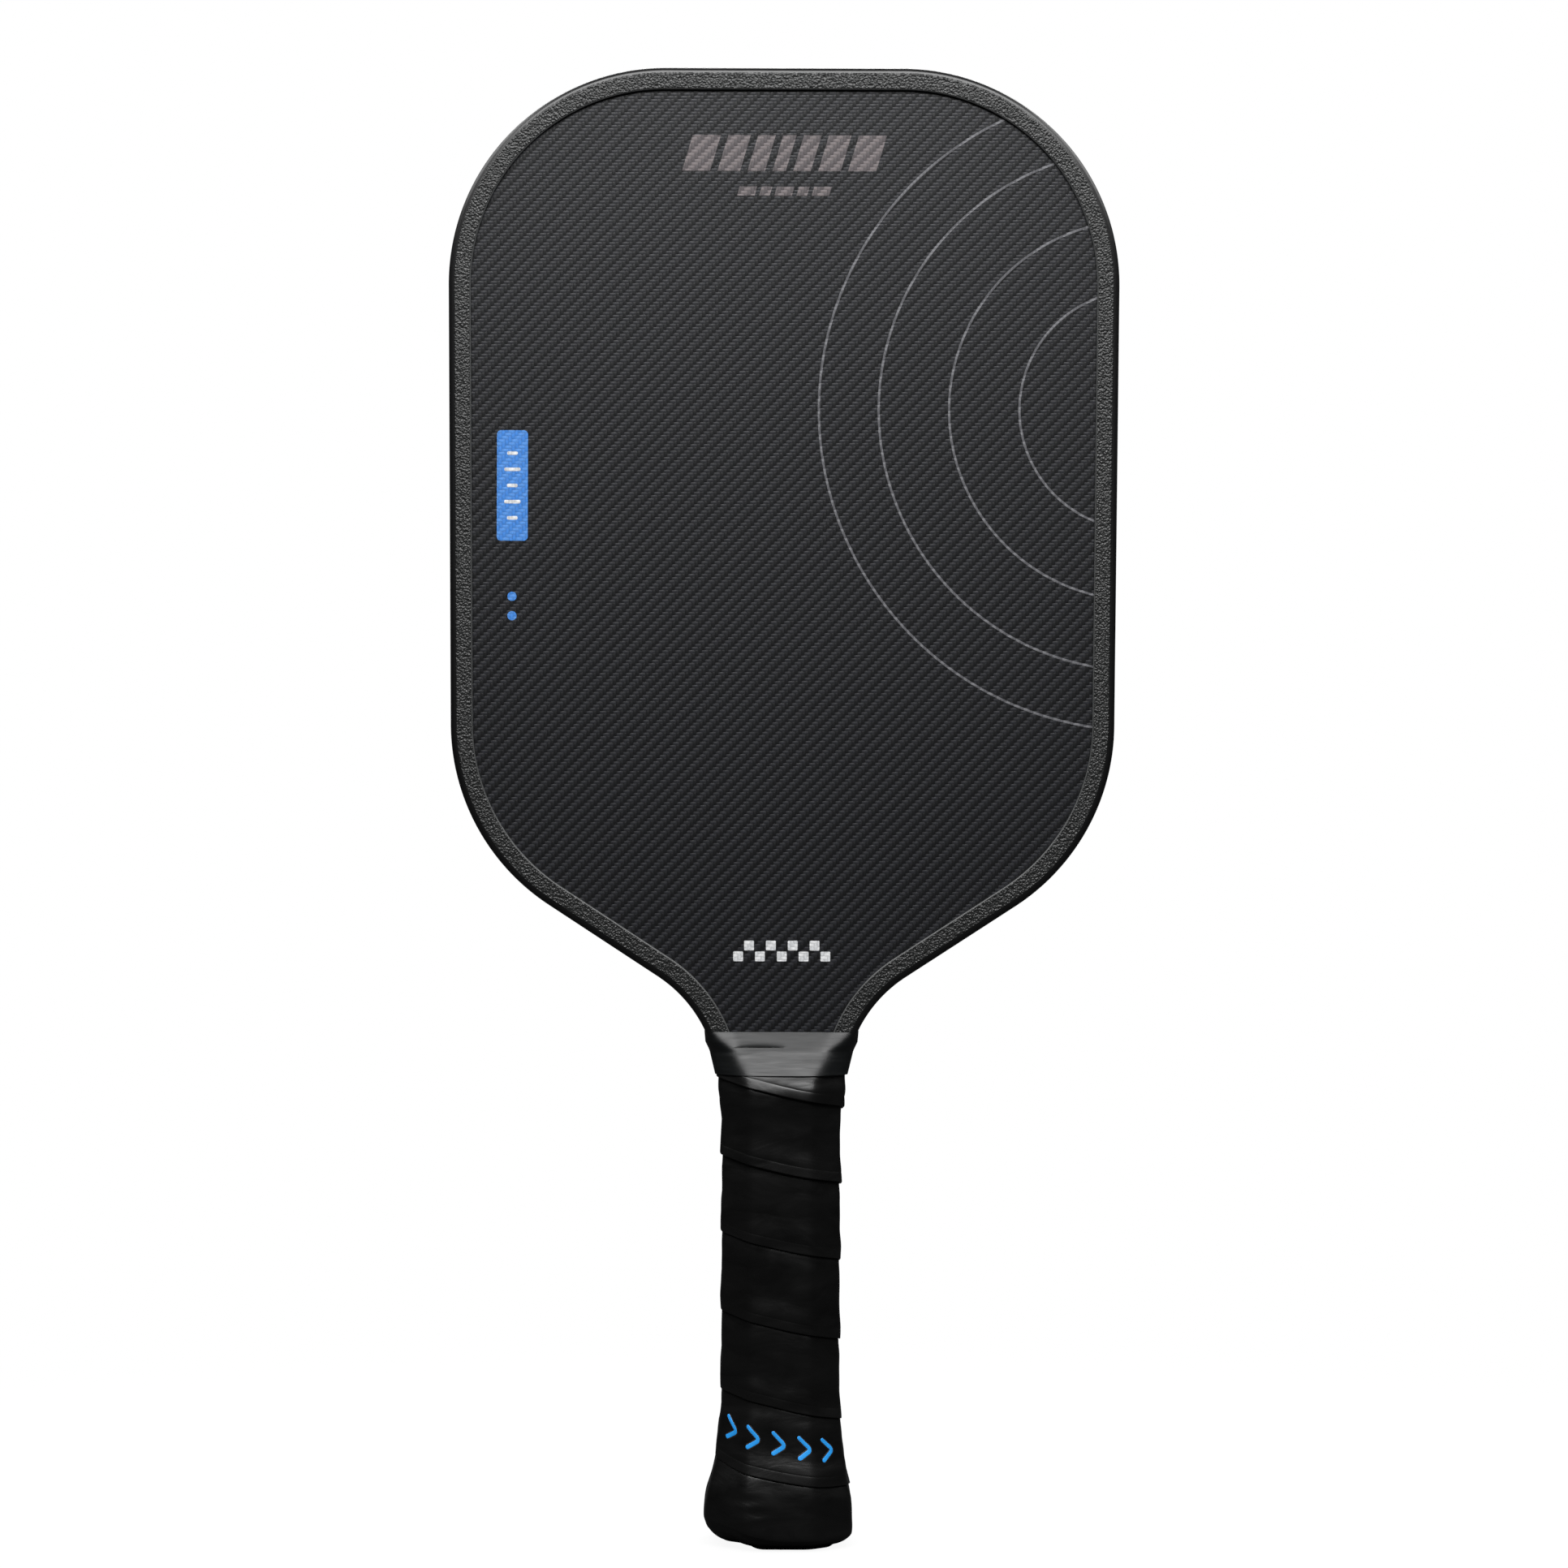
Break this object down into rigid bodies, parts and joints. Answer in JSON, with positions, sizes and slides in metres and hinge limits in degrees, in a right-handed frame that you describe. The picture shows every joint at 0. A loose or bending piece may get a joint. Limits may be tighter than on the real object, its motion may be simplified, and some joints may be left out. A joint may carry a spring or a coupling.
{
  "type": "pickleball paddle",
  "caption": "Pickleball paddle with a rounded carbon-faced head, an edge guard round its rim and a wrapped octagonal handle that flares at the butt.",
  "frame": {"origin": "middle of the flat butt end, on the surface that the paddle would stand on", "axes": "+Z from the butt to the top of the head, -Y out of the front face, +X to the right seen from the front"},
  "size_m": [0.1908, 0.0394, 0.419],
  "materials": {
    "core_polypropylene": "pale polypropylene honeycomb",
    "adhesive_film": "amber cured adhesive film",
    "carbon_skin": "dark raw carbon twill, satin",
    "rim_foam": "closed-cell foam bead",
    "guard_polyurethane": "black polyurethane, pebbled lips",
    "bond_tape": "grey double-sided tape",
    "pallet_plastic": "dark structural foam plastic",
    "cap_plastic": "black moulded plastic",
    "staple_steel": "bright steel wire",
    "backing_film": "cream adhesive backing",
    "grip_polyurethane": "black polyurethane strip, soft sheen",
    "tape_vinyl": "black stretch tape, satin"
  },
  "bodies": {
    "root": {"honeycomb_core": "core_polypropylene", "front_core_film": "adhesive_film", "back_core_film": "adhesive_film", "front_face_skin": "carbon_skin", "back_face_skin": "carbon_skin", "edge_foam": "rim_foam", "edge_guard": "guard_polyurethane", "edge_guard_bond_tapes": "bond_tape", "handle_front_pallet": "pallet_plastic", "handle_back_pallet": "pallet_plastic", "butt_cap": "cap_plastic", "butt_cap_staples": "staple_steel", "grip_adhesive_backing": "backing_film", "cushion_grip": "grip_polyurethane", "finishing_tape": "tape_vinyl"}
  },
  "joints": []
}
